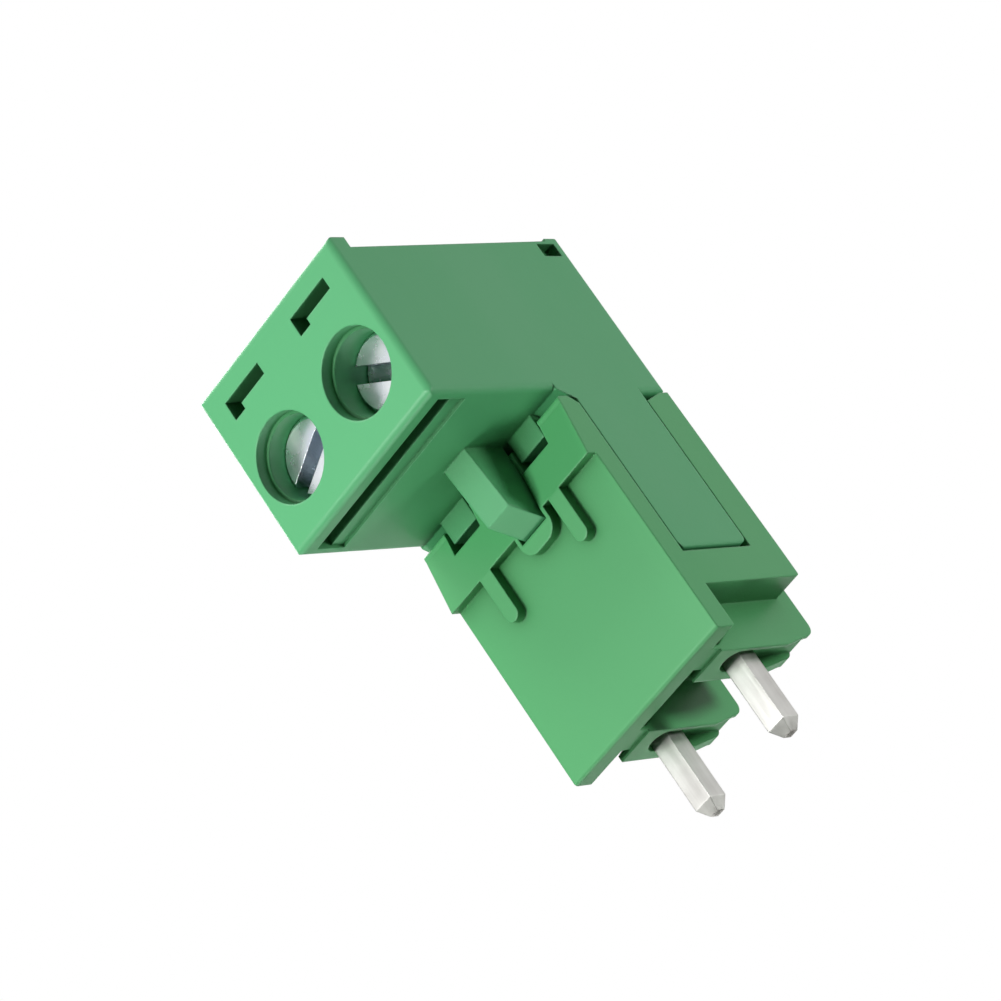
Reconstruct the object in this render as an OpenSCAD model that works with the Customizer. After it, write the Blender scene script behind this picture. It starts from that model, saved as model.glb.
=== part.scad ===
// Two-pole pluggable terminal for printed circuit boards: a screw plug with
// rising-cage clamps, mated with an open-ended vertical header.
// Frame: z = 0 is the board surface, the origin is midway between the two solder
// pins, +X runs along the row of poles, the screws face +Y and the wires enter
// from +Z. The header stands on its two feet, the pins reach below z = 0.

/* [Poles] */
// Distance between neighbouring poles
pitch = 5.08; // [4.9:0.01:5.6]
// Side wall left outside the last pole, less than half a pitch when ends may butt
end_gap = 0.05; // [0:0.01:0.2]

/* [Plug] */
// Depth of the plug from its back to the face with the screws
plug_d = 14.3; // [14:0.1:16]
// How far the screw face stands out of the header's front
face_out = 7.2; // [6.5:0.1:8]
// Height of the upper block, from its shoulder to the top of the lip
block_h = 8.35; // [8:0.05:10]
// Height of the lip along the screw side of the marker groove
lip_h = 0.54; // [0.2:0.02:0.8]
// Thickness of that lip
lip_t = 1.05; // [0.5:0.05:1.4]
// Height of the low rim at the back of the marker groove, whose floor rises to it
rim_h = 0.14; // [0.1:0.02:0.3]
// Thickness of that rim
rim_t = 0.95; // [0.4:0.05:1.2]
// Length and height of the recess at each end of the rim
mark = [1.1, 0.7]; // [0.4:0.1:1.4]
// Depth of that recess
mark_dp = 0.5; // [0.2:0.05:0.8]
// Distance of that recess from the back and from the rim's top
mark_in = [0.55, 0.3]; // [0.2:0.05:1]
// Depth and height of the bevel between nose and shoulder, on the screw side
root = [0.85, 0.6]; // [0.2:0.05:1]
// Gap under the nose
nose_gap = 0.2; // [0.1:0.05:0.4]
// Rounding of the nose's lower edges
nose_r = 0.35; // [0.1:0.05:0.6]
// Rounding of the block's long edges
block_r = 0.3; // [0.1:0.05:0.6]
// Rounding of the short edges and of the nose
edge_r = 0.15; // [0.05:0.05:0.3]
// Distance of the undercut groove from the screw face
groove_in = 0.8; // [0.6:0.05:1.5]
// Width of the undercut groove
groove_w = 0.9; // [0.5:0.05:1.2]
// Depth of the undercut groove
groove_dp = 1.2; // [0.4:0.05:1.3]
// Width and depth of the ledge behind the groove
ledge = [0.7, 0.14]; // [0.05:0.01:1]
// Wall that closes the groove at each end
groove_wall = 0.5; // [0.3:0.05:1]

/* [Screw wells] */
// Height of the screw axis above the shoulder
screw_z = 3.25; // [3.1:0.05:3.8]
// Radius of the mouth of the well
well_r = 1.92; // [1.85:0.01:2.2]
// Depth of the wide mouth
well_step = 0.6; // [0.3:0.05:1]
// Depth of each screw head below the screw face, first and second pole
screw_sink = [1.6, 1.35]; // [1.2:0.05:2]
// Turn of each screw slot from the row, first and second pole
slot_turn = [-37, 21]; // [-90:1:90]

/* [Release slots] */
// Length of the slot above each screw
rel_l = 2.5; // [1.5:0.1:3.5]
// Width of that slot
rel_w = 0.6; // [0.3:0.05:0.8]
// Width and length of its short leg, towards the screw
rel_leg = [0.72, 0.92]; // [0.4:0.02:1.2]
// Depth of the slot
rel_dp = 1.6; // [0.5:0.1:2.2]
// Height of the slot above the screw axis
rel_up = 3.75; // [3:0.05:4]

/* [Wire entry] */
// Width of the funnel mouth along the row
funnel_w = 4.1; // [3.4:0.1:4.3]
// Length of the funnel mouth
funnel_l = 4.2; // [3.6:0.1:4.6]
// Width of the throat, both ways
throat = 2.5; // [2:0.1:2.8]
// Depth of the funnel
funnel_dp = 1.9; // [1:0.1:2.2]

/* [Clamp] */
// Radius of the screw head
head_r = 1.7; // [1.6:0.01:1.8]
// Height of the screw head
head_h = 1.8; // [1.5:0.05:2]
// Width of the driver slot
drive_w = 0.75; // [0.5:0.05:1]
// Depth of the driver slot
drive_dp = 0.9; // [0.5:0.05:1.2]
// Radius of the screw thread
thread_r = 1.45; // [1.3:0.05:1.45]
// Chamfer at the tip of the screw
tip_bevel = 0.35; // [0.2:0.05:0.5]
// Height of the bevel on the head
head_bevel = 0.15; // [0.05:0.05:0.3]
// Outer width of the cage along the row
cage_w = 4; // [3.9:0.05:4.1]
// Length of the cage along the wire
cage_l = 3.6; // [3:0.1:3.8]
// Wall of the cage
cage_t = 0.5; // [0.4:0.05:0.5]
// Thickness of the threaded wall
cage_nut = 1.3; // [1.1:0.05:1.4]
// Open gap for the wire
wire_gap = 2.6; // [2.2:0.1:2.7]
// Rounding of the cage, outside and inside
cage_r = [0.4, 0.1]; // [0.05:0.05:0.6]
// Travel of the cage when the clamp closes
cage_travel = 2.25; // [1.5:0.05:2.3]

/* [Contact] */
// Thickness of the contact strip
strip_t = 0.8; // [0.6:0.05:0.9]
// Width of the bar under the screw
bar_w = 2.1; // [1.6:0.1:2.2]
// Side of the bar that the screw presses, from the pin row
bar_y = 3.4; // [3.3:0.05:3.6]
// Length of the bar's end that the housing holds
bar_hold = 0.6; // [0.4:0.1:1]
// Height of the tines above the lower end of the nose
tine_floor = 0.8; // [0.6:0.1:1.2]
// Thickness of each tine
tine_t = 0.6; // [0.4:0.05:0.8]
// Width of each tine
tine_w = 1.6; // [1.2:0.1:1.8]
// Height of the flared lead-in of each tine
tine_lead = 0.9; // [0.6:0.05:1.2]
// How far that lead-in opens
tine_flare = 0.3; // [0.1:0.05:0.4]
// How far the tines stand clear of the pin above their touching line
tine_relief = 0.12; // [0.05:0.01:0.2]
// Thickness of the steel over-spring
spring_t = 0.2; // [0.15:0.01:0.3]
// Height of the over-spring
spring_h = 2.6; // [1.5:0.1:3.5]
// Rounding of the over-spring, outside and inside
spring_r = [0.25, 0.05]; // [0.05:0.01:0.4]
// Slit where its ends meet
spring_slit = 0.4; // [0.2:0.05:0.8]

/* [Header] */
// Height of the plug's shoulder above the board
seat_h = 12.8; // [12.4:0.1:14]
// Depth of the header from its back to its front face
head_d = 7.2; // [7:0.05:8]
// Distance of the front face from the row of pins
pin_front = 3.7; // [3.5:0.05:4]
// Thickness of the front wall
front_t = 1.1; // [0.9:0.05:1.3]
// Thickness of the back wall
back_t = 1.75; // [1.2:0.05:1.8]
// Height of the underside of the floor above the board
floor_z = 2.3; // [2:0.1:3]
// Thickness of the floor
floor_t = 1.7; // [1.2:0.05:2]
// Height of the front wall's lower edge above the board
wall_lift = 0.1; // [0:0.05:0.4]
// Gap between the rim and the plug's shoulder, in front
rim_gap = 0.45; // [0.4:0.05:0.6]
// The same gap behind the nose, where the shoulder comes lower
back_gap = 0.05; // [0.05:0.05:0.2]
// Height of the lead-in bevel inside the rim
lead_h = 0.4; // [0.1:0.05:0.6]
// Depth of that bevel in the front wall and in the back wall
lead_in = [0.45, 1.1]; // [0.1:0.05:1.2]
// How far the back wall leans in over its height
back_draft = 0.12; // [0:0.02:0.2]
// How far the band and pads stand out of the front wall
band_t = 0.5; // [0.3:0.05:0.7]
// Height of the band, down from the shoulder
band_h = 3.5; // [3.3:0.1:4]
// Where the band's sloping face meets the wall, down from the shoulder
band_fade = 0.8; // [0.5:0.05:1.5]
// Length of the ribs, down from the shoulder
rib_h = 5.95; // [5:0.05:8]
// Width of the ribs
rib_w = 0.75; // [0.5:0.05:1]
// Width of the coding notch in the band
notch_w = 1.9; // [1.5:0.1:2.2]
// Depth of the coding notch, down from the shoulder
notch_h = 1.65; // [1.4:0.05:2]
// Gap under the coding key and at each of its sides
key_gap = [0.5, 0.12]; // [0.05:0.01:0.4]
// How far the key's face lies behind the header's front
key_in = 0.1; // [0:0.05:0.3]
// Rounding of the header's edges
head_edge_r = 0.15; // [0.1:0.05:0.4]

/* [Polarising prong] */
// Middle of the prong, from the middle of the housing
prong_x = -0.7; // [-0.9:0.05:0.9]
// Width of the prong
prong_w = 1.5; // [1.2:0.05:1.6]
// Length of its straight part
prong_h = 3.05; // [2.5:0.05:3.1]
// How far it stands out of the header's front at its root
prong_out = 2.35; // [2:0.05:2.6]
// How far its front leans in over its length
prong_lean = 0.35; // [0:0.05:0.5]
// Height of the bevel at its foot
prong_bevel = 0.8; // [0.5:0.05:1]
// Thickness of the blunt end of that bevel
prong_toe = 0.3; // [0.1:0.05:0.6]
// Width of the pad under the prong
pad_w = 2.1; // [1.9:0.05:2.4]
// Height of the pad below the band
pad_h = 1.2; // [0.9:0.05:1.5]
// Rounding of the pad
pad_r = 0.7; // [0.4:0.05:0.9]
// Clearance at each side of the prong and below it
prong_gap = 0.12; // [0.05:0.01:0.2]

/* [Feet and pins] */
// Width of each foot
foot_w = 2; // [1.8:0.1:2.4]
// How far the feet reach behind the back wall
foot_back = 0.75; // [0:0.05:1]
// Length of the sloping part of each sole
sole_l = 2.05; // [1.2:0.05:2.5]
// Slope of that part
sole_tilt = 11; // [5:0.5:20]
// Rounding between sole and heel
heel_r = 0.6; // [0.3:0.05:0.8]
// How far the feet reach up the back wall
foot_up = 0.5; // [0.2:0.05:1]
// How far the feet reach in front of the pin row, above the toe
foot_front = 0.8; // [0.7:0.05:1.5]
// Gap between the front wall and the toe of each foot
foot_gap = 0.45; // [0.3:0.05:0.6]
// Height of the toe at its front and where it meets the foot
toe_h = [0.3, 1.1]; // [0.2:0.05:1.5]
// Width of the web that ties each toe to the front wall
web_w = 1.3; // [0.8:0.05:1.5]
// Width of the solder channel under each foot
channel_w = 1.3; // [1.2:0.05:1.5]
// Depth of that channel
channel_dp = 0.6; // [0.3:0.05:1.2]
// How far the channel reaches in front of the pin row
channel_y = 1.3; // [0.9:0.05:1.6]
// How far its middle lies beside the pin
channel_x = -0.17; // [-0.2:0.01:0.2]
// Side of the square pin
pin_w = 1; // [0.9:0.01:1.1]
// Length of the pin below the board surface
pin_below = 3.7; // [3:0.1:5]
// Length of the pin above the header's floor
pin_above = 6.4; // [5:0.1:7]
// Height of the chamfered tips
pin_tip = 0.55; // [0.3:0.05:0.8]
// Width of the blunt ends of the pin
pin_end = 0.45; // [0.2:0.05:0.8]

/* [Clearances] */
// Clearance of each sliding fit, per side
slide_fit = 0.05; // [0.03:0.01:0.08]
// Clearance of the pieces held still in a housing, per side
hold_fit = 0.02; // [0.01:0.01:0.05]
// Clearance of the threads and of the tines on the pin, per side
thread_fit = 0.03; // [0.01:0.01:0.05]
// Clearance of each screw head in its bore, all round
head_fit = 0.08; // [0.05:0.01:0.1]

/* [Hidden] */
$fn = 48;
eps = 0.01;                                  // overlap of joined bodies
over = 1;                                    // overshoot of cuts into the open
room = 0.2;                                  // free room round the metal in the plug
moulded = [0.27, 0.62, 0.36];
tinned = [0.82, 0.82, 0.8];
plated = [0.74, 0.77, 0.82];
copper = [0.78, 0.66, 0.5];
spring_steel = [0.6, 0.62, 0.64];

poles = 2;
body_w = poles * pitch - 2 * end_gap;        // both housings are equally wide
pole_x = [for (i = [0 : poles - 1]) (i - (poles - 1) / 2) * pitch];

// depths, from the pin row
head_front = pin_front;
back_y = head_front - head_d;
face_y = head_front + face_out;
plug_back = face_y - plug_d;
socket_y0 = back_y + back_t;
socket_y1 = head_front - front_t;
nose_y0 = socket_y0 + slide_fit;
nose_y1 = socket_y1 - slide_fit;
prong_y0 = head_front + slide_fit;

// heights, from the board
rim_z = seat_h - rim_gap;
back_z = rim_z + back_gap;                   // shoulder behind the nose
socket_z = floor_z + floor_t;
nose_z = socket_z + nose_gap;
block_z = seat_h + block_h;
floor_front = [face_y - lip_t, block_z - lip_h];      // ends of the marker groove's floor
floor_back = [plug_back + rim_t, block_z - rim_h];
axis_z = seat_h + screw_z;

// clamp, open: the cage rests low and the wire lies between its floor and the bar
bore_r = head_r + head_fit;                     // running fit of the screw head
cage_in0 = bar_y - strip_t - wire_gap;
cage_in1 = bar_y + room / 2;
cage_y0 = cage_in0 - cage_t;
cage_y1 = cage_in1 + cage_nut;
chamber_y0 = cage_y0 - slide_fit;
chamber_y1 = cage_y1 + cage_travel + slide_fit;
chamber_w = cage_w + 2 * slide_fit;
chamber_l = cage_l + 2 * slide_fit;
chamber_z0 = axis_z - chamber_l / 2;
shank_l = face_y - screw_sink[0] - head_h - bar_y - slide_fit;
wire_y = (cage_in0 + bar_y - strip_t) / 2;
mouth_z = floor_front[1] + (floor_back[1] - floor_front[1])
    * (floor_front[0] - wire_y) / (floor_front[0] - floor_back[0]);

// contact: the bar jogs back over a shelf and ends in two tines round the pin
shelf_z = seat_h + room;
bar_top = chamber_z0 + chamber_l + bar_hold;
tine_in = pin_w / 2 + thread_fit;
tine_out = tine_in + tine_t;
tine_z = nose_z + tine_floor;
spring_z = tine_z + tine_lead;
spring_out = [tine_out + hold_fit + spring_t, tine_w / 2 + hold_fit + spring_t];
cavity = [spring_out[0] + room / 2, spring_out[1] + room / 2];
pin_hole = pin_w / 2 + room;                 // half width of the pin's way into the plug
pin_lead = 0.4;                              // chamfer at the mouth of that way

// ---- helpers -------------------------------------------------------------

// rectangle from a to b with its corners rounded by r, all arcs exact
module round_rect(a, b, r) {
    translate([a[0] + r, a[1]]) square([b[0] - a[0] - 2 * r, b[1] - a[1]]);
    translate([a[0], a[1] + r]) square([b[0] - a[0], b[1] - a[1] - 2 * r]);
    for (x = [a[0] + r, b[0] - r], y = [a[1] + r, b[1] - r])
        translate([x, y]) circle(r);
}

// box from corner a to corner b
module span(a, b) {
    translate(a) cube(b - a);
}

// profile in (y, z), pulled along X from x0 to x1
module along_x(x0, x1) {
    translate([x0, 0, 0]) rotate([90, 0, 90]) linear_extrude(x1 - x0) children();
}

// profile in (x, z), pulled along Y from y0 to y1
module along_y(y0, y1) {
    translate([0, y1, 0]) rotate([90, 0, 0]) linear_extrude(y1 - y0) children();
}

// profile in (x, y), pulled along Z from z0 to z1
module along_z(z0, z1) {
    translate([0, 0, z0]) linear_extrude(z1 - z0) children();
}

// ---- plug ----------------------------------------------------------------

// side outline of the upper block: the shoulder steps down behind the nose, and the
// floor of the marker groove rises from the lip to the rim
module block_outline() {
    difference() {
        union() {
            round_rect([nose_y0, seat_h], [face_y, block_z], block_r);
            round_rect([plug_back, back_z], [nose_y1 - block_r, block_z], block_r);
        }
        polygon([floor_front, floor_back, [floor_back[0], block_z + over],
                 [floor_front[0], block_z + over]]);
    }
}

// upper block: its outline, with the upright edges and the edges of both shoulders rounded
module plug_block() {
    w = body_w / 2;
    intersection() {
        along_x(-w, w) block_outline();
        along_z(0, block_z + over) round_rect([-w, plug_back], [w, face_y], block_r);
        union() {
            along_y(nose_y1 - block_r, face_y) round_rect([-w, seat_h], [w, block_z + over], block_r);
            along_y(plug_back, nose_y1 - block_r) round_rect([-w, back_z], [w, block_z + over], block_r);
        }
    }
}

// recesses at both ends of the rim
module rim_recesses() {
    w = body_w / 2;
    y0 = plug_back + mark_in[0];
    z1 = block_z - mark_in[1];
    for (x = [-w, w])
        span([x - mark_dp, y0, z1 - mark[1]], [x + mark_dp, y0 + mark[0], z1]);
}

// undercut groove behind the screw face, with a shallow ledge along it
module shoulder_groove() {
    w = body_w / 2 - groove_wall;
    y1 = face_y - groove_in;
    y0 = y1 - groove_w;
    span([-w, y0, seat_h - over], [w, y1, seat_h + groove_dp]);
    span([-w, y0 - ledge[0], seat_h - over], [w, y0 + eps, seat_h + ledge[1]]);
}

// stepped well of one screw
module screw_well(x) {
    translate([x, 0, axis_z]) rotate([-90, 0, 0]) {
        translate([0, 0, chamber_y1 - eps]) cylinder(r = bore_r, h = face_y - chamber_y1 + over);
        translate([0, 0, face_y - well_step]) cylinder(r = well_r, h = well_step + over);
    }
}

// L-shaped slot above one screw
module release_slot(x) {
    z1 = axis_z + rel_up + rel_w / 2;
    along_y(face_y - rel_dp, face_y + over) {
        translate([x - rel_l / 2, z1 - rel_w]) square([rel_l, rel_w]);
        translate([x + rel_l / 2 - rel_leg[0], z1 - rel_leg[1]]) square(rel_leg);
    }
}

// wire funnel of one pole: square throat that opens to a wide mouth
module wire_funnel(x) {
    z0 = mouth_z - funnel_dp;
    h = throat / 2;
    intersection() {
        along_y(wire_y - funnel_l, wire_y + funnel_l)
            polygon([[x - h, z0], [x + h, z0], [x + funnel_w / 2, mouth_z],
                     [x + funnel_w / 2, mouth_z + over], [x - funnel_w / 2, mouth_z + over],
                     [x - funnel_w / 2, mouth_z]]);
        along_x(x - funnel_w, x + funnel_w)
            polygon([[wire_y - h, z0], [wire_y + h, z0], [wire_y + funnel_l / 2, mouth_z],
                     [wire_y + funnel_l / 2, mouth_z + over], [wire_y - funnel_l / 2, mouth_z + over],
                     [wire_y - funnel_l / 2, mouth_z]]);
    }
    span([x - h, wire_y - h, chamber_z0 + chamber_l / 2], [x + h, wire_y + h, z0 + eps]);
}

// room for one clamp cage over its whole travel, with the slot that holds the bar
module clamp_chamber(x) {
    b = bar_w / 2 + hold_fit;
    span([x - chamber_w / 2, chamber_y0, chamber_z0],
         [x + chamber_w / 2, chamber_y1, chamber_z0 + chamber_l]);
    span([x - b, bar_y - strip_t - hold_fit, shelf_z - hold_fit],
         [x + b, bar_y + hold_fit, bar_top + hold_fit]);
    span([x - b, -cavity[1], shelf_z - hold_fit],
         [x + b, bar_y + hold_fit, shelf_z + strip_t + hold_fit]);
}

// way in for the pin from below: narrow, with a chamfered mouth
module pin_way() {
    polygon([[-pin_hole - pin_lead, nose_z - eps], [pin_hole + pin_lead, nose_z - eps],
             [pin_hole, nose_z + pin_lead], [pin_hole, tine_z], [-pin_hole, tine_z],
             [-pin_hole, nose_z + pin_lead]]);
}

// room for one pair of tines, with the way in for the pin
module tine_chamber(x) {
    r = pin_hole + pin_lead;
    span([x - cavity[0], -cavity[1], tine_z - room], [x + cavity[0], cavity[1], shelf_z + 2 * eps]);
    intersection() {
        translate([x, 0, 0]) along_y(-r, r) pin_way();
        along_x(x - r, x + r) pin_way();
    }
}

// nose that fills the header's socket, rounded at its lower end and bevelled out to the
// shoulder on the screw side
module plug_nose() {
    w = body_w / 2;
    intersection() {
        along_x(-w, w) {
            round_rect([nose_y0, nose_z], [nose_y1, seat_h], nose_r);
            polygon([[nose_y0, seat_h - nose_r - eps], [nose_y0, seat_h + block_r],
                     [nose_y1 + root[0], seat_h + block_r], [nose_y1 + root[0], seat_h],
                     [nose_y1, seat_h - root[1]]]);
        }
        along_y(nose_y0, nose_y1 + root[0]) round_rect([-w, nose_z], [w, seat_h + over], edge_r);
    }
}

// prong in front of the header: straight, then bevelled in to the wall
module plug_prong() {
    x0 = prong_x - prong_w / 2;
    y1 = head_front + prong_out;
    along_x(x0, x0 + prong_w)
        polygon([[prong_y0, seat_h + block_r], [y1, seat_h + block_r], [y1, seat_h],
                 [y1 - prong_lean, seat_h - prong_h],
                 [prong_y0 + prong_toe, seat_h - prong_h - prong_bevel],
                 [prong_y0, seat_h - prong_h - prong_bevel]]);
}

// coding key of one pole: it drops into the notch of the header's front wall
module coding_key(x) {
    w = notch_w / 2 - key_gap[1];
    span([x - w, nose_y1 - eps, seat_h - notch_h + key_gap[0]],
         [x + w, head_front - key_in, seat_h + block_r]);
}

module plug_housing() color(moulded) {
    difference() {
        union() {
            plug_block();
            plug_nose();
            plug_prong();
            for (x = pole_x) coding_key(x);
        }
        shoulder_groove();
        rim_recesses();
        for (x = pole_x) {
            screw_well(x);
            release_slot(x);
            wire_funnel(x);
            clamp_chamber(x);
            tine_chamber(x);
        }
    }
}

// slotted clamp screw of pole i; its axis is along Y and its head faces +Y
module clamp_screw(i) color(plated) {
    head_top = face_y - screw_sink[i];
    translate([pole_x[i], head_top, axis_z]) rotate([-90, 0, 0])
        difference() {
            translate([0, 0, -head_h - shank_l]) rotate_extrude()
                polygon([[0, 0], [thread_r - tip_bevel, 0], [thread_r, tip_bevel], [thread_r, shank_l],
                         [head_r, shank_l], [head_r, shank_l + head_h - head_bevel],
                         [head_r - head_bevel, shank_l + head_h], [0, shank_l + head_h]]);
            rotate([0, 0, slot_turn[i]])
                translate([-head_r - over, -drive_w / 2, -drive_dp])
                    cube([2 * (head_r + over), drive_w, drive_dp + over]);
        }
}

// folded cage of pole i: a square tube with a thick threaded wall under the screw head
module clamp_cage(i) color(plated) {
    x = pole_x[i];
    z0 = axis_z - cage_l / 2;
    w = cage_w / 2;
    difference() {
        along_z(z0, z0 + cage_l)
            difference() {
                round_rect([x - w, cage_y0], [x + w, cage_y1], cage_r[0]);
                round_rect([x - w + cage_t, cage_in0], [x + w - cage_t, cage_in1], cage_r[1]);
            }
        translate([x, cage_in1 - eps, axis_z]) rotate([-90, 0, 0])
            cylinder(r = thread_r + thread_fit, h = cage_nut + over);
    }
}

// contact of pole i: bar under the screw, shelf, and two tines that take the pin
module contact(i) color(copper) {
    x = pole_x[i];
    bar_in = bar_y - strip_t;
    // bar and shelf are one strip, bent where they meet
    along_x(x - bar_w / 2, x + bar_w / 2) {
        translate([bar_in, shelf_z + strip_t]) square([strip_t, bar_top - shelf_z - strip_t]);
        translate([-tine_w / 2, shelf_z]) square([bar_in + tine_w / 2, strip_t]);
        translate([bar_in, shelf_z + strip_t])
            intersection() {
                circle(strip_t);
                translate([0, -strip_t]) square(strip_t);
            }
    }
    // tines close in to a contact point, then flare to lead the pin in
    for (s = [-1, 1])
        along_y(-tine_w / 2, tine_w / 2)
            polygon([[x + s * tine_out, shelf_z + eps], [x + s * tine_out, tine_z],
                     [x + s * (tine_in + tine_flare), tine_z], [x + s * tine_in, tine_z + tine_lead],
                     [x + s * tine_in, tine_z + 2 * tine_lead],
                     [x + s * (tine_in + tine_relief), tine_z + 3 * tine_lead],
                     [x + s * (tine_in + tine_relief), shelf_z + eps]]);
}

// steel over-spring of pole i: a clip folded round both tines
module contact_spring(i) color(spring_steel) {
    x = pole_x[i];
    a = [tine_out + hold_fit, tine_w / 2 + hold_fit];
    along_z(spring_z, spring_z + spring_h)
        difference() {
            round_rect([x - spring_out[0], -spring_out[1]],
                       [x + spring_out[0], spring_out[1]], spring_r[0]);
            round_rect([x - a[0], -a[1]], [x + a[0], a[1]], spring_r[1]);
            translate([x - spring_slit / 2, 0]) square([spring_slit, spring_out[1] + over]);
        }
}

// ---- header --------------------------------------------------------------

// raised band, pad and ribs on the front wall, as seen from the front
module band_outline() {
    w = body_w / 2;
    pad_z = seat_h - band_h - pad_h;
    slot_z = seat_h - prong_h - prong_bevel - prong_gap;
    difference() {
        union() {
            translate([-w, seat_h - band_h]) square([2 * w, band_h - rim_gap]);
            round_rect([prong_x - pad_w / 2, pad_z], [prong_x + pad_w / 2, seat_h - band_h + pad_r], pad_r);
            for (x = pole_x)
                round_rect([x - rib_w / 2, seat_h - rib_h], [x + rib_w / 2, seat_h - band_h + rib_w],
                           rib_w / 2 - eps);
        }
        translate([prong_x - prong_w / 2 - prong_gap, slot_z]) square([prong_w + 2 * prong_gap, seat_h]);
    }
}

// how far band, pad and ribs stand out: evenly below, sloping back to the wall above
module band_depth() {
    y0 = head_front - eps;
    y1 = head_front + band_t;
    polygon([[y0, seat_h - rib_h - over], [y1, seat_h - rib_h - over], [y1, seat_h - band_h],
             [head_front + eps, seat_h - band_fade], [y0, seat_h - band_fade]]);
}

// side profile of the socket: front wall, floor and leaning back wall in one piece, with
// lead-in bevels inside the rim
module socket_profile() {
    difference() {
        union() {
            round_rect([back_y, floor_z], [head_front, rim_z], head_edge_r);
            round_rect([socket_y1, wall_lift], [head_front, rim_z], head_edge_r);
        }
        polygon([[socket_y0, socket_z], [socket_y1, socket_z], [socket_y1, rim_z - lead_h],
                 [socket_y1 + lead_in[0], rim_z], [socket_y1 + lead_in[0], seat_h],
                 [socket_y0 - lead_in[1], seat_h], [socket_y0 - lead_in[1], rim_z],
                 [socket_y0, rim_z - lead_h]]);
        polygon([[back_y, socket_z], [back_y - over, socket_z], [back_y - over, seat_h],
                 [back_y + back_draft, seat_h]]);
    }
}

// side outline of a foot: a low toe in front, a flat sole, then a slope, and a rounded
// heel up to the back
module foot_outline() {
    y0 = back_y - foot_back;
    y1 = socket_y1 - foot_gap;
    z1 = floor_z + foot_up;
    heel = [y0 + heel_r, heel_r / cos(sole_tilt) + (sole_l - heel_r) * tan(sole_tilt)];
    polygon([[y0, heel[1]], [y0, z1], [foot_front, z1], [foot_front, toe_h[1]], [y1, toe_h[0]],
             [y1, 0], [y0 + sole_l, 0],
             heel - (heel_r - 2 * eps) * [sin(sole_tilt), cos(sole_tilt)], heel]);
    translate(heel) circle(heel_r);
}

// one foot, with the web to the front wall and a solder channel below
module foot(x) {
    x0 = x - foot_w / 2;
    y1 = socket_y1 - foot_gap;
    r = channel_w / 2;
    difference() {
        along_x(x0, x0 + foot_w) foot_outline();
        along_z(-over, channel_dp) {
            translate([x + channel_x, channel_y - r]) circle(r);
            translate([x + channel_x - r, back_y - foot_back - over])
                square([channel_w, channel_y - r - back_y + foot_back + over]);
        }
    }
    span([x0, y1 - eps, wall_lift], [x0 + web_w, socket_y1 + head_edge_r, toe_h[0]]);
}

module header_housing() color(moulded) {
    w = body_w / 2;
    difference() {
        union() {
            along_x(-w, w) socket_profile();
            intersection() {
                along_y(head_front - eps, head_front + band_t) band_outline();
                along_x(-w, w) band_depth();
            }
            for (x = pole_x) foot(x);
        }
        for (x = pole_x) {
            // coding notch, through band and wall
            span([x - notch_w / 2, socket_y1 - over, seat_h - notch_h],
                 [x + notch_w / 2, head_front + band_t + over, seat_h + over]);
            // square hole for the pin
            span([x - pin_w / 2 - hold_fit, -pin_w / 2 - hold_fit, -over],
                 [x + pin_w / 2 + hold_fit, pin_w / 2 + hold_fit, socket_z + over]);
        }
    }
}

// square solder pin of pole i, chamfered at both ends
module solder_pin(i) color(tinned) {
    z0 = -pin_below;
    z1 = socket_z + pin_above;
    w = pin_w / 2;
    c = pin_end / 2;
    intersection() {
        along_x(pole_x[i] - w, pole_x[i] + w)
            polygon([[-c, z0], [c, z0], [w, z0 + pin_tip], [w, z1 - pin_tip], [c, z1], [-c, z1],
                     [-w, z1 - pin_tip], [-w, z0 + pin_tip]]);
        translate([pole_x[i], 0, 0]) along_y(-w, w)
            polygon([[-c, z0], [c, z0], [w, z0 + pin_tip], [w, z1 - pin_tip], [c, z1], [-c, z1],
                     [-w, z1 - pin_tip], [-w, z0 + pin_tip]]);
    }
}

header_housing();
plug_housing();
solder_pin(0);  // solder_pin_1
solder_pin(1);  // solder_pin_2
clamp_screw(0);  // clamp_screw_1
clamp_screw(1);  // clamp_screw_2
clamp_cage(0);  // clamp_cage_1
clamp_cage(1);  // clamp_cage_2
contact(0);  // contact_1
contact(1);  // contact_2
contact_spring(0);  // contact_spring_1
contact_spring(1);  // contact_spring_2
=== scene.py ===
"""Two-pole pluggable screw terminal: finishes of mouldings, screws, cages, contacts and pins."""

import math

import bpy
from mathutils import Matrix, Vector


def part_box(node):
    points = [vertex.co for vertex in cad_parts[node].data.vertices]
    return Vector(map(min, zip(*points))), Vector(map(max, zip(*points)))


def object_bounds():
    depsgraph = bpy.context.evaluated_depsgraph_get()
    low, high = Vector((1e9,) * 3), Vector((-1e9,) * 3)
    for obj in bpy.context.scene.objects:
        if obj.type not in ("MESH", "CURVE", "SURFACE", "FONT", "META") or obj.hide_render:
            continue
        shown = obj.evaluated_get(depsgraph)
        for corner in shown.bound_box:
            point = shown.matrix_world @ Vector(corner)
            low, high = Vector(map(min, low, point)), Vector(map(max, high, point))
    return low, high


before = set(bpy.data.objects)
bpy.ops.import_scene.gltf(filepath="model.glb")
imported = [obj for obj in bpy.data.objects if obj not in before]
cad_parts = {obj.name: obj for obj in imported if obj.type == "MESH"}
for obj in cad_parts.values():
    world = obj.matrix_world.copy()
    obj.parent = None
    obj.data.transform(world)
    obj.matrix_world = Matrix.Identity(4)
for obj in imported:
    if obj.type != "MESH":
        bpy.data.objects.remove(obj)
cad_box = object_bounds()

MM = 0.001                                  # one millimetre in scene units
UP = Vector((0, 0, 1))

# ---- sizes that a finish follows ---------------------------------------------

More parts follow.
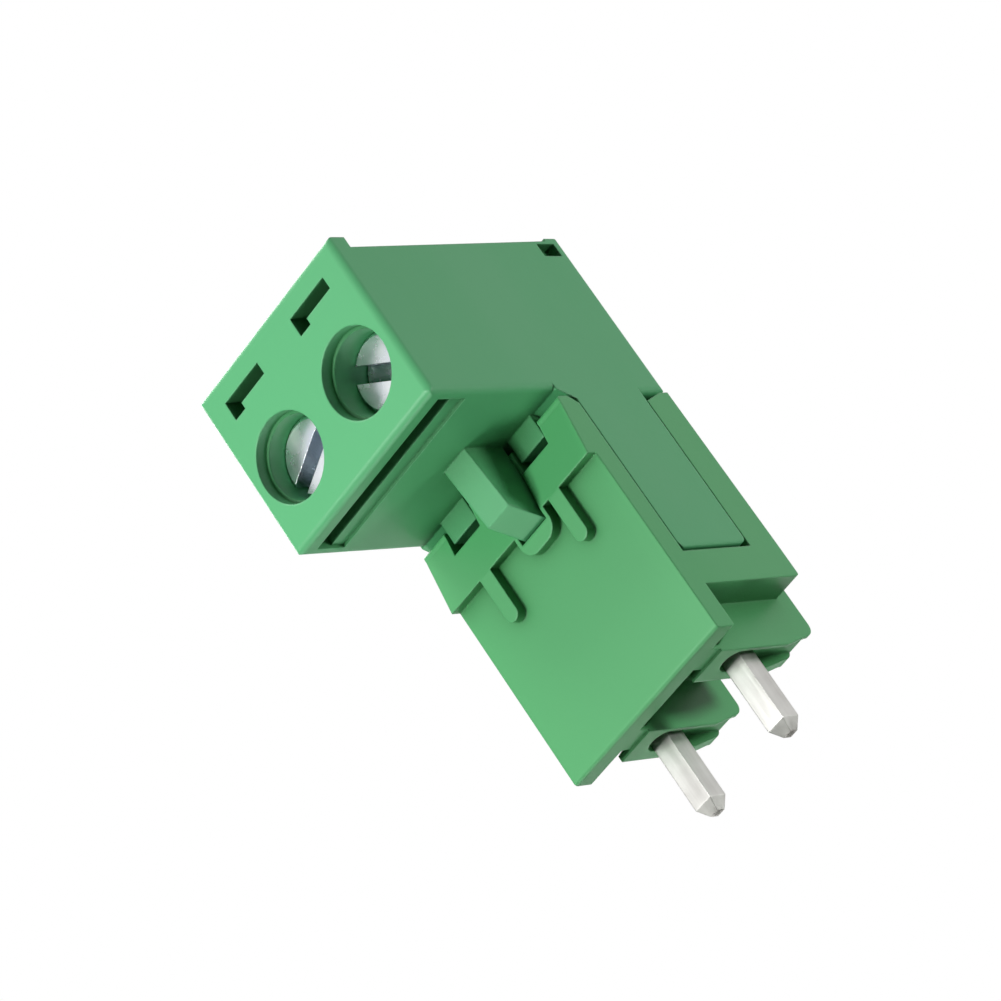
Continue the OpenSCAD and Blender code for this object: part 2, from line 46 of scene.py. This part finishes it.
SCREW_HEAD = 1.81 * MM                      # from the head's face to the start of the shank
THREAD_PITCH = 0.5 * MM                     # of the M3 thread
THREAD_HEIGHT = 18.0                        # crest, in steps of the screw's bump distance
LATHE_PITCH = 0.09 * MM                     # between two lathe marks on the head
RING_HEIGHT = 0.03                          # of a lathe mark, in steps of the same distance

# ---- camera ----------------------------------------------------------------

VIEW_AZIMUTH = -55.38                       # degrees, direction of sight from +X round +Z
VIEW_CLIMB = 24.48                          # degrees, the camera looks up at the feet
VIEW_ROLL = 34.31                           # degrees, leaning the part over to its side
VIEW_REACH = 182.91 * MM                    # from the camera to the aim point
VIEW_LENS = 160.54                          # mm on a 36 mm wide frame
AIM = Vector((0.07, 3.81, 11.19)) * MM      # point in the middle of the frame


def sight_axes():
    """Sight, right and up of the camera: azimuth and climb give the sight, and roll turns
    the level pair (sight x up, and its cross with the sight) about it."""
    a, c, r = (math.radians(v) for v in (VIEW_AZIMUTH, VIEW_CLIMB, VIEW_ROLL))
    sight = Vector((math.cos(c) * math.cos(a), math.cos(c) * math.sin(a), math.sin(c)))
    level = sight.cross(UP).normalized()
    upright = level.cross(sight)
    right = level * math.cos(r) - upright * math.sin(r)
    return sight, right, right.cross(sight)


def make_camera():
    sight, right, up = sight_axes()
    data = bpy.data.cameras.new("view")
    data.lens = VIEW_LENS
    data.sensor_width = 36
    data.clip_start, data.clip_end = 5 * MM, 2
    camera = bpy.data.objects.new("view", data)
    turn = Matrix((right, up, -sight)).transposed()
    camera.matrix_world = Matrix.Translation(AIM - sight * VIEW_REACH) @ turn.to_4x4()
    bpy.context.scene.collection.objects.link(camera)
    bpy.context.scene.camera = camera


# ---- node helpers ------------------------------------------------------------

class Nodes:
    """Short way to write a node tree: each call adds a node and returns the wanted output."""

    def __init__(self, tree):
        self.tree = tree

    def add(self, kind, out=0, props=None, **inputs):
        """Node of a kind; props are set on it, inputs are values or outputs to link."""
        node = self.tree.nodes.new(kind)
        for name, value in (props or {}).items():
            setattr(node, name, value)
        for name, value in inputs.items():
            key = int(name[1:]) if name[1:].isdigit() else name.replace("_", " ")
            self.put(node.inputs[key], value)
        return node.outputs[out]

    def put(self, socket, value):
        if isinstance(value, bpy.types.NodeSocket):
            self.tree.links.new(value, socket)
        else:
            socket.default_value = value

    def math(self, operation, a, b=0.0, clamp=False):
        return self.add("ShaderNodeMath", props={"operation": operation, "use_clamp": clamp},
                        _0=a, _1=b)

    def noise(self, where, scale, detail=3.0, rough=0.5):
        return self.add("ShaderNodeTexNoise", Vector=where, Scale=scale, Detail=detail,
                        Roughness=rough)

    def vector(self, operation, a, b, out=0):
        return self.add("ShaderNodeVectorMath", out=out, props={"operation": operation}, _0=a, _1=b)

    def ramp(self, value, low, high, to_low=0.0, to_high=1.0):
        """Straight line from to_low at low to to_high at high, level outside them."""
        return self.add("ShaderNodeMapRange", Value=value, From_Min=low, From_Max=high,
                        To_Min=to_low, To_Max=to_high)

    def blend(self, factor, a, b):
        """Colour mix of a and b by a factor."""
        node = self.tree.nodes.new("ShaderNodeMix")
        node.data_type = "RGBA"
        self.put(node.inputs[0], factor)
        self.put(node.inputs[6], a)
        self.put(node.inputs[7], b)
        return node.outputs[2]


def new_group(name, takes, gives):
    """Shader node group with float inputs (name: default) and typed outputs (name: kind)."""
    group = bpy.data.node_groups.new(name, "ShaderNodeTree")
    for label, value in takes.items():
        socket = group.interface.new_socket(label, in_out="INPUT", socket_type="NodeSocketFloat")
        socket.default_value = value
    for label, kind in gives.items():
        group.interface.new_socket(label, in_out="OUTPUT", socket_type=kind)
    take, give = (group.nodes.new("NodeGroup" + end) for end in ("Input", "Output"))
    return group, Nodes(group), take, give


def place_group(nodes, group, **values):
    """A shared effect in a material, with its own values for the group's inputs."""
    node = nodes.tree.nodes.new("ShaderNodeGroup")
    node.node_tree = group
    for name, value in values.items():
        nodes.put(node.inputs[name.replace("_", " ")], value)
    return node


# ---- shared effects ------------------------------------------------------------

def edge_group():
    """Edge mask, used on the mouldings for a painted highlight and on the metal for paler edges.
    The rounded normal's product with the true one falls below 1 at an edge, and the mask is
    that fall, less a share of a noise. The rounded normal is given out too."""
    group, nodes, take, give = new_group(
        "edge_mask", {"Radius": 0.1 * MM, "Break Up": 0.5},
        {"Mask": "NodeSocketFloat", "Normal": "NodeSocketVector"})
    soft = nodes.add("ShaderNodeBevel", props={"samples": 6}, Radius=take.outputs[0])
    true = nodes.add("ShaderNodeNewGeometry", out="True Normal")
    same = nodes.vector("DOT_PRODUCT", soft, true, out="Value")
    edge = nodes.ramp(same, 0.995, 0.8)
    where = nodes.add("ShaderNodeTexCoord", out="Object")
    patch = nodes.ramp(nodes.noise(where, 900.0, 4.0), 0.35, 0.65)
    keep = nodes.math("SUBTRACT", 1.0, nodes.math("MULTIPLY", patch, take.outputs[1]))
    group.links.new(nodes.math("MULTIPLY", edge, keep, clamp=True), give.inputs[0])
    group.links.new(soft, give.inputs[1])
    return group


def corner_shade_group():
    """Inside corners, a mask for painted shade (and, on the mouldings, duller satin): 1 less the
    share of short feelers from the surface that meet nothing of the same piece, spread so that
    open surface gives 0 and a tight corner gives 1."""
    group, nodes, take, give = new_group(
        "inside_corner_shade", {"Reach": 0.8 * MM, "Tight": 0.45}, {"Mask": "NodeSocketFloat"})
    free = nodes.add("ShaderNodeAmbientOcclusion", out="AO",
                     props={"samples": 8, "only_local": True}, Distance=take.outputs[0])
    group.links.new(nodes.ramp(free, 0.97, take.outputs[1]), give.inputs[0])
    return group


def grain_group():
    """Spark-eroded tool grain on a moulding: the height is a fine noise plus a share of a
    coarse one."""
    group, nodes, take, give = new_group(
        "mould_grain", {"Fine": 9000.0, "Coarse": 1600.0, "Share": 0.3},
        {"Height": "NodeSocketFloat"})
    where = nodes.add("ShaderNodeTexCoord", out="Object")
    fine = nodes.noise(where, take.outputs[0], 2.0)
    coarse = nodes.noise(where, take.outputs[1], 2.0)
    height = nodes.math("ADD", fine, nodes.math("MULTIPLY", coarse, take.outputs[2]))
    group.links.new(height, give.inputs[0])
    return group


def cloud_group():
    """Slow drift of a finish, such as flow in a moulding or haze on plating: noise at the
    point with its height multiplied by the stretch, spread to run from 0 to 1."""
    group, nodes, take, give = new_group(
        "drift", {"Scale": 180.0, "Stretch": 1.0}, {"Value": "NodeSocketFloat"})
    where = nodes.add("ShaderNodeTexCoord", out="Object")
    size = nodes.add("ShaderNodeCombineXYZ", X=1.0, Y=1.0, Z=take.outputs[1])
    pulled = nodes.vector("MULTIPLY", where, size)
    value = nodes.ramp(nodes.noise(pulled, take.outputs[0], 4.0, 0.55), 0.3, 0.7)
    group.links.new(value, give.inputs[0])
    return group


EDGES, CORNER_SHADE, GRAIN, DRIFT = edge_group(), corner_shade_group(), grain_group(), cloud_group()


# ---- materials ------------------------------------------------------------------

def new_material(name):
    """A material, the short way to write its nodes, and its Principled shader."""
    material = bpy.data.materials.new(name)
    material.use_nodes = True
    nodes = Nodes(material.node_tree)
    return material, nodes, material.node_tree.nodes["Principled BSDF"]


def moulding(name, colour, tint):
    """Green polyamide with tool grain. Half of the slow flow blends colour into tint and the
    flow sets the satin. Outer edges blend a third of the way to a paler green, a painted
    highlight, and inside corners go duller and to the deep green that is a quarter of the colour
    times itself over its green share, a painted shade. Diffuse rays see the colour deeper in the
    same way, a painted shade that dims the light the moulding passes on to other pieces."""
    material, nodes, shader = new_material(name)
    highlight_share, corner_shade_share, bounce_shade_share = 0.35, 0.85, 0.7
    satin_low, satin_high, corner_dull = 0.36, 0.46, 0.9
    edges = place_group(nodes, EDGES, Radius=0.14 * MM, Break_Up=0.35)
    grain = place_group(nodes, GRAIN)
    flow = place_group(nodes, DRIFT, Scale=160.0, Stretch=0.35).outputs[0]
    # Mask of inside corners within 2.4 mm, for the painted shade and the duller satin below
    corners = place_group(nodes, CORNER_SHADE, Reach=2.4 * MM, Tight=0.35).outputs[0]
    path = nodes.tree.nodes.new("ShaderNodeLightPath")
    body = nodes.blend(nodes.math("MULTIPLY", flow, 0.5), colour, tint)
    # pale is the green of the painted edge highlight, deep the green of the painted shade
    pale = tuple(min(1, 1.35 * c + 0.03) for c in colour[:3]) + (1,)
    deep = tuple(0.25 * c * c / colour[1] for c in colour[:3]) + (1,)
    # Painted highlight: outer edges, away from inside corners, go towards pale
    outer = nodes.math("MULTIPLY", edges.outputs[0], nodes.math("SUBTRACT", 1.0, corners))
    edge_paled = nodes.blend(nodes.math("MULTIPLY", outer, highlight_share), body, pale)
    # Painted shade: inside corners, and all colour that diffuse rays see, go towards deep
    painted_shade = nodes.math("MAXIMUM", nodes.math("MULTIPLY", corners, corner_shade_share),
                       nodes.math("MULTIPLY", path.outputs["Is Diffuse Ray"], bounce_shade_share))
    nodes.put(shader.inputs["Base Color"], nodes.blend(painted_shade, edge_paled, deep))
    satin = nodes.ramp(flow, 0.0, 1.0, satin_low, satin_high)
    nodes.put(shader.inputs["Roughness"],
              nodes.math("MAXIMUM", satin, nodes.math("MULTIPLY", corners, corner_dull)))
    bump = nodes.add("ShaderNodeBump", Strength=0.25, Distance=0.012 * MM,
                     Height=grain.outputs[0], Normal=edges.outputs[1])
    nodes.put(shader.inputs["Normal"], bump)
    shader.inputs["Specular IOR Level"].default_value = 0.5
    return material


def turned_rings(nodes, where, off):
    """Lathe marks: sine of the distance from the axis along Y, in turns of the lathe pitch,
    with a wobble of noise up to 0.6 of that pitch."""
    flat = nodes.vector("MULTIPLY", off, (1, 0, 1))
    away = nodes.add("ShaderNodeVectorMath", out="Value", props={"operation": "LENGTH"}, _0=flat)
    wobble = nodes.math("MULTIPLY", nodes.noise(where, 2500.0), 0.6 * LATHE_PITCH)
    turns = nodes.math("MULTIPLY", nodes.math("ADD", away, wobble), 2 * math.pi / LATHE_PITCH)
    return nodes.math("SINE", turns)


def helix_thread(nodes, off):
    """Thread on the shank: the angle round the axis over a full turn plus the way along it over
    the pitch, folded to run up and down once a turn, and 0 on the head."""
    split = nodes.tree.nodes.new("ShaderNodeSeparateXYZ")
    nodes.put(split.inputs[0], off)
    angle = nodes.math("ARCTAN2", split.outputs[0], split.outputs[2])
    turns = nodes.math("ADD", nodes.math("DIVIDE", split.outputs[1], THREAD_PITCH),
                       nodes.math("DIVIDE", angle, 2 * math.pi))
    tooth = nodes.math("PINGPONG", turns, 0.5)
    return nodes.math("MULTIPLY", tooth, nodes.math("LESS_THAN", split.outputs[1], -SCREW_HEAD))


def zinc_screw(name, axis_point):
    """Bluish zinc plate on a turned screw. The height is the lathe rings plus the thread, haze
    blends two tones of plate and sets the roughness, edges go brighter, and the inside corners
    of the driver slot go towards a dark slate, a painted shade."""
    material, nodes, shader = new_material(name)
    where = nodes.add("ShaderNodeTexCoord", out="Object")
    off = nodes.vector("SUBTRACT", where, axis_point)
    height = nodes.math("ADD", nodes.math("MULTIPLY", turned_rings(nodes, where, off), RING_HEIGHT),
                        nodes.math("MULTIPLY", helix_thread(nodes, off), THREAD_HEIGHT))
    haze = place_group(nodes, DRIFT, Scale=700.0, Stretch=1.0)
    edges = place_group(nodes, EDGES, Radius=0.02 * MM, Break_Up=0.3)
    plate = nodes.blend(haze.outputs[0], (0.75, 0.81, 0.88, 1), (0.92, 0.95, 0.97, 1))
    edge_paled = nodes.blend(nodes.math("MULTIPLY", edges.outputs[0], 0.5), plate, (0.93, 0.94, 0.95, 1))
    # Painted shade: the driver slot's inside corners go towards dark slate
    slot = place_group(nodes, CORNER_SHADE, Reach=0.9 * MM)
    slot_shade = nodes.math("MULTIPLY", slot.outputs[0], 0.7)
    nodes.put(shader.inputs["Base Color"], nodes.blend(slot_shade, edge_paled, (0.17, 0.23, 0.29, 1)))
    nodes.put(shader.inputs["Roughness"], nodes.ramp(haze.outputs[0], 0.0, 1.0, 0.2, 0.34))
    nodes.put(shader.inputs["Normal"],
              nodes.add("ShaderNodeBump", Strength=0.5, Distance=0.02 * MM, Height=height,
                        Normal=edges.outputs[1]))
    shader.inputs["Metallic"].default_value = 1
    return material


def plated_sheet(name, dark, light, rough, scale):
    """Plated or bare sheet metal. The tone is 0.6 of a soft haze plus 0.4 of rolled streaks
    along Z. It blends dark into light and adds up to 0.14 to the roughness. The streaks are
    the height, and edges go brighter."""
    material, nodes, shader = new_material(name)
    haze = place_group(nodes, DRIFT, Scale=scale, Stretch=1.0)
    streak = place_group(nodes, DRIFT, Scale=6 * scale, Stretch=0.04)
    edges = place_group(nodes, EDGES, Radius=0.07 * MM, Break_Up=0.4)
    tone = nodes.math("ADD", nodes.math("MULTIPLY", haze.outputs[0], 0.6),
                      nodes.math("MULTIPLY", streak.outputs[0], 0.4))
    base = nodes.blend(tone, dark, light)
    edge_paled = nodes.math("MULTIPLY", edges.outputs[0], 0.5)
    nodes.put(shader.inputs["Base Color"], nodes.blend(edge_paled, base, (0.95, 0.95, 0.93, 1)))
    nodes.put(shader.inputs["Roughness"], nodes.ramp(tone, 0.0, 1.0, rough, rough + 0.14))
    nodes.put(shader.inputs["Normal"],
              nodes.add("ShaderNodeBump", Strength=0.3, Distance=0.01 * MM,
                        Height=streak.outputs[0], Normal=edges.outputs[1]))
    shader.inputs["Metallic"].default_value = 1
    return material


def finish_nodes():
    """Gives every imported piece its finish, by node name."""
    green, deep = (0.1, 0.45, 0.185, 1), (0.092, 0.425, 0.172, 1)
    leaf, moss = (0.092, 0.435, 0.155, 1), (0.085, 0.41, 0.145, 1)
    tin = plated_sheet("tin_plate", (0.5, 0.49, 0.465, 1), (0.68, 0.675, 0.65, 1), 0.3, 500.0)
    cage = plated_sheet("zinc_sheet", (0.55, 0.58, 0.62, 1), (0.76, 0.79, 0.82, 1), 0.28, 500.0)
    strip = plated_sheet("tinned_strip", (0.66, 0.6, 0.5, 1), (0.82, 0.79, 0.72, 1), 0.26, 400.0)
    steel = plated_sheet("spring_steel", (0.4, 0.41, 0.43, 1), (0.58, 0.59, 0.61, 1), 0.24, 600.0)
    finishes = {"header_housing": moulding("header_green", leaf, moss),
                "plug_housing": moulding("plug_green", green, deep)}
    for i in ("1", "2"):
        low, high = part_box("clamp_screw_" + i)
        head = ((low[0] + high[0]) / 2, high[1], (low[2] + high[2]) / 2)
        finishes["clamp_screw_" + i] = zinc_screw("zinc_screw_" + i, head)
        finishes["solder_pin_" + i] = tin
        finishes["clamp_cage_" + i] = cage
        finishes["contact_" + i] = strip
        finishes["contact_spring_" + i] = steel
    for name, material in finishes.items():
        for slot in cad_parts[name].material_slots:
            slot.material = material


# ---- studio ----------------------------------------------------------------------

ROOM_WAY = (-0.35, 0.2, 0.9)                # towards the bright walls of the room
ROOM_SPAN = (-0.7, 0.4)                     # along that way, where the walls go dim to bright
ROOM_LEVELS = (0.12, 0.88)                  # of the dim and the bright walls, in reflections
SOFT_LEVEL = 0.07                           # of the even light from all round

# name, way from the part, distance in m, width in m, power in W
LAMPS = (("key", (0.2, 0.975, -0.08), 0.085, 0.02, 0.055),
         ("side", (-0.93, -0.35, -0.2), 0.25, 0.05, 0.28),
         ("low", (0.45, 0.1, -0.89), 0.3, 0.08, 0.2),
         ("overhead", (0.1, 0.45, 0.88), 0.3, 0.15, 0.45),
         ("back_fill", (0.6, -0.48, 0.64), 0.3, 0.22, 0.85))


def make_world():
    """Even studio, white to camera and transmission rays. Glossy rays meet a room whose level
    runs from dim to bright with the product of their direction and the room's bright way, and
    all other rays meet the even soft light."""
    world = bpy.data.worlds.new("studio")
    world.use_nodes = True
    tree = world.node_tree
    nodes = Nodes(tree)
    path = tree.nodes.new("ShaderNodeLightPath")
    seen = nodes.math("MAXIMUM", path.outputs["Is Camera Ray"], path.outputs["Is Transmission Ray"])
    where = nodes.add("ShaderNodeTexCoord", out="Generated")
    side = nodes.vector("DOT_PRODUCT", where, ROOM_WAY, out="Value")
    room = nodes.ramp(side, *ROOM_SPAN, *ROOM_LEVELS)
    glossy = path.outputs["Is Glossy Ray"]
    soft = nodes.math("MULTIPLY", nodes.math("SUBTRACT", 1.0, glossy), SOFT_LEVEL)
    level = nodes.math("ADD", nodes.math("MULTIPLY", room, glossy), soft)
    back = tree.nodes["Background"]
    back.inputs["Color"].default_value = (1, 1, 1, 1)
    nodes.put(back.inputs["Strength"], nodes.math("MAXIMUM", seen, level))
    bpy.context.scene.world = world


def add_lamp(name, direction, reach, size, power):
    """Square area lamp at a distance along a direction from the part, facing the part."""
    data = bpy.data.lights.new(name, "AREA")
    data.shape = "SQUARE"
    data.size = size
    data.energy = power
    lamp = bpy.data.objects.new(name, data)
    way = Vector(direction).normalized()
    lamp.location = AIM + way * reach
    lamp.rotation_euler = way.to_track_quat("Z", "Y").to_euler()
    bpy.context.scene.collection.objects.link(lamp)


def make_floor():
    """Pale floor under the pin tips, a one-sided sheet: seen from above only, so that the
    camera below it looks past it, and lamps below it reach the part."""
    z = cad_box[0][2] - 0.05 * MM           # just clear of the pin tips
    half = 400 * MM                         # half the width of the sheet
    corners = [(-half, -half, z), (half, -half, z), (half, half, z), (-half, half, z)]
    mesh = bpy.data.meshes.new("floor")
    mesh.from_pydata(corners, [], [(0, 1, 2, 3)])
    floor = bpy.data.objects.new("floor", mesh)
    bpy.context.scene.collection.objects.link(floor)
    material, nodes, shader = new_material("pale_floor")
    shader.inputs["Base Color"].default_value = (0.8, 0.8, 0.79, 1)
    shader.inputs["Roughness"].default_value = 0.7
    behind = nodes.add("ShaderNodeNewGeometry", out="Backfacing")
    path = nodes.tree.nodes.new("ShaderNodeLightPath")
    passing = nodes.math("MAXIMUM", path.outputs["Is Shadow Ray"], path.outputs["Is Diffuse Ray"])
    clear = nodes.add("ShaderNodeBsdfTransparent")
    mix = nodes.add("ShaderNodeMixShader", _0=nodes.math("MAXIMUM", behind, passing),
                    _1=shader.outputs[0], _2=clear)
    nodes.put(nodes.tree.nodes["Material Output"].inputs["Surface"], mix)
    floor.data.materials.append(material)


def make_studio():
    make_world()
    for lamp in LAMPS:
        add_lamp(*lamp)


# ---- scene -----------------------------------------------------------------------

make_camera()
finish_nodes()
make_studio()
make_floor()
bpy.context.scene.view_settings.view_transform = "Standard"
